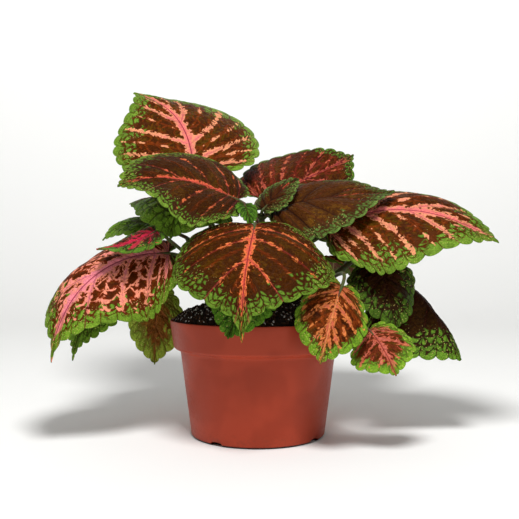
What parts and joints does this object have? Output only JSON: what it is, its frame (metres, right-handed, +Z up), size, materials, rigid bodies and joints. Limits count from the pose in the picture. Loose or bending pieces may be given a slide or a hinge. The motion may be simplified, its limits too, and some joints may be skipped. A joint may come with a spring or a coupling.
{
  "type": "potted foliage plant",
  "caption": "Bushy kong coleus in a round plastic pot, with broad scalloped leaves in brown, pink and green around a short shoot.",
  "frame": {"origin": "centre of the pot's underside, on the surface the pot stands on", "axes": "+Z up along the pot's axis, -Y towards the front of the plant, +X to the right seen from the front"},
  "size_m": [0.3651, 0.2768, 0.315],
  "materials": {
    "pot": "satin, moulded",
    "soil": "loose and crumbly",
    "shoot": "soft, slightly hairy",
    "leaf_patterned": "velvety sheen",
    "leaf_dark": "velvety sheen",
    "leaf_green_brown": "velvety sheen"
  },
  "bodies": {
    "root": {"pot": "pot", "soil": "soil", "main_shoot": "shoot", "left_shoot": "shoot", "right_shoot": "shoot", "back_left_shoot": "shoot", "back_shoot": "shoot", "leaf_tall_left": "leaf_patterned", "leaf_upper_left": "leaf_dark", "leaf_front": "leaf_dark", "leaf_upper_back": "leaf_dark", "leaf_upper_right": "leaf_dark", "leaf_young_right": "leaf_dark", "leaf_young_left": "leaf_dark", "leaf_right": "leaf_patterned", "leaf_low_right_front": "leaf_patterned", "leaf_low_right_small": "leaf_patterned", "leaf_low_right_back": "leaf_green_brown", "leaf_low_right_middle": "leaf_green_brown", "leaf_left": "leaf_patterned", "leaf_low_left": "leaf_green_brown", "leaf_low_left_back": "leaf_green_brown", "leaf_side_left_upper": "leaf_patterned", "leaf_side_left_lower": "leaf_patterned", "leaf_shaded_left": "leaf_green_brown", "leaf_low_front": "leaf_green_brown", "leaf_shaded_right": "leaf_green_brown", "leaf_back_right": "leaf_dark", "leaf_back": "leaf_dark", "leaf_back_left": "leaf_patterned", "leaf_low_back_left": "leaf_dark", "leaf_low_back_right": "leaf_patterned", "leaf_low_back": "leaf_green_brown"}
  },
  "joints": []
}
